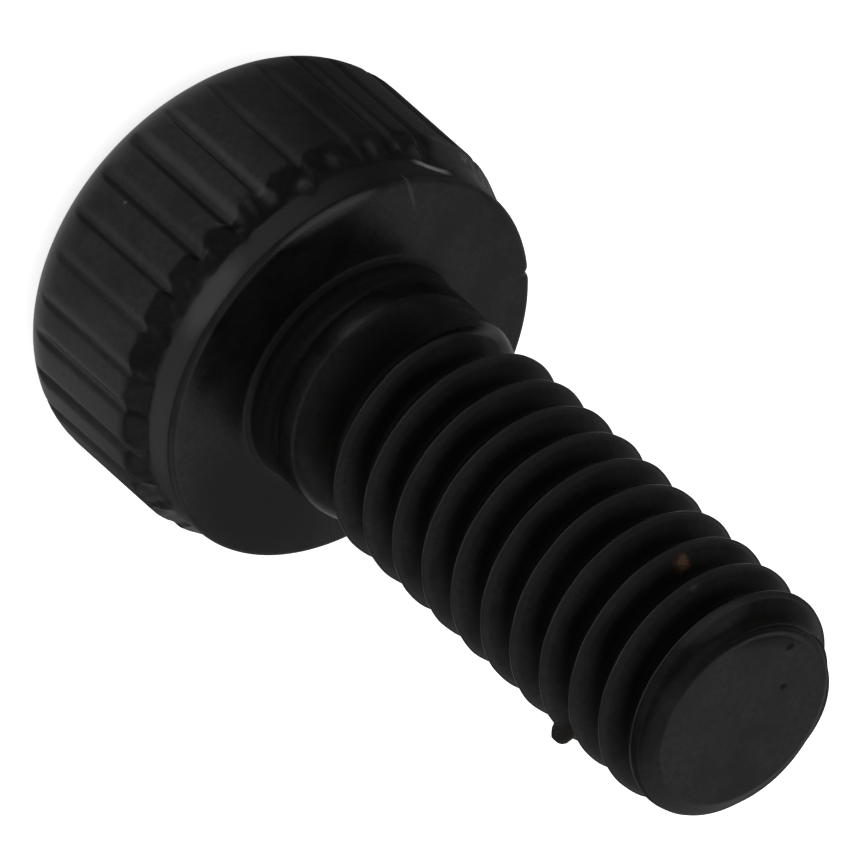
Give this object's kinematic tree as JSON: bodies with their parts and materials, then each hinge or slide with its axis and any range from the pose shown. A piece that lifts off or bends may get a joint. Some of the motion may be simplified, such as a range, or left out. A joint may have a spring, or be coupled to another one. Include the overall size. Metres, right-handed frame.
{
  "type": "hex socket cap screw",
  "caption": "Small black steel cap screw with a straight-knurled round head, a hex socket and a full metric thread.",
  "frame": {"origin": "middle of the flat top of the head, which the screw stands on", "axes": "+Z runs along the screw from the head to the thread's end; +X and +Y are square to it"},
  "size_m": [0.0044, 0.0044, 0.0084],
  "materials": {
    "blackened_steel": "black oxide on rolled and knurled alloy steel, dull satin with a thin film of oil"
  },
  "bodies": {
    "root": {"cap_screw": "blackened_steel"}
  },
  "joints": []
}
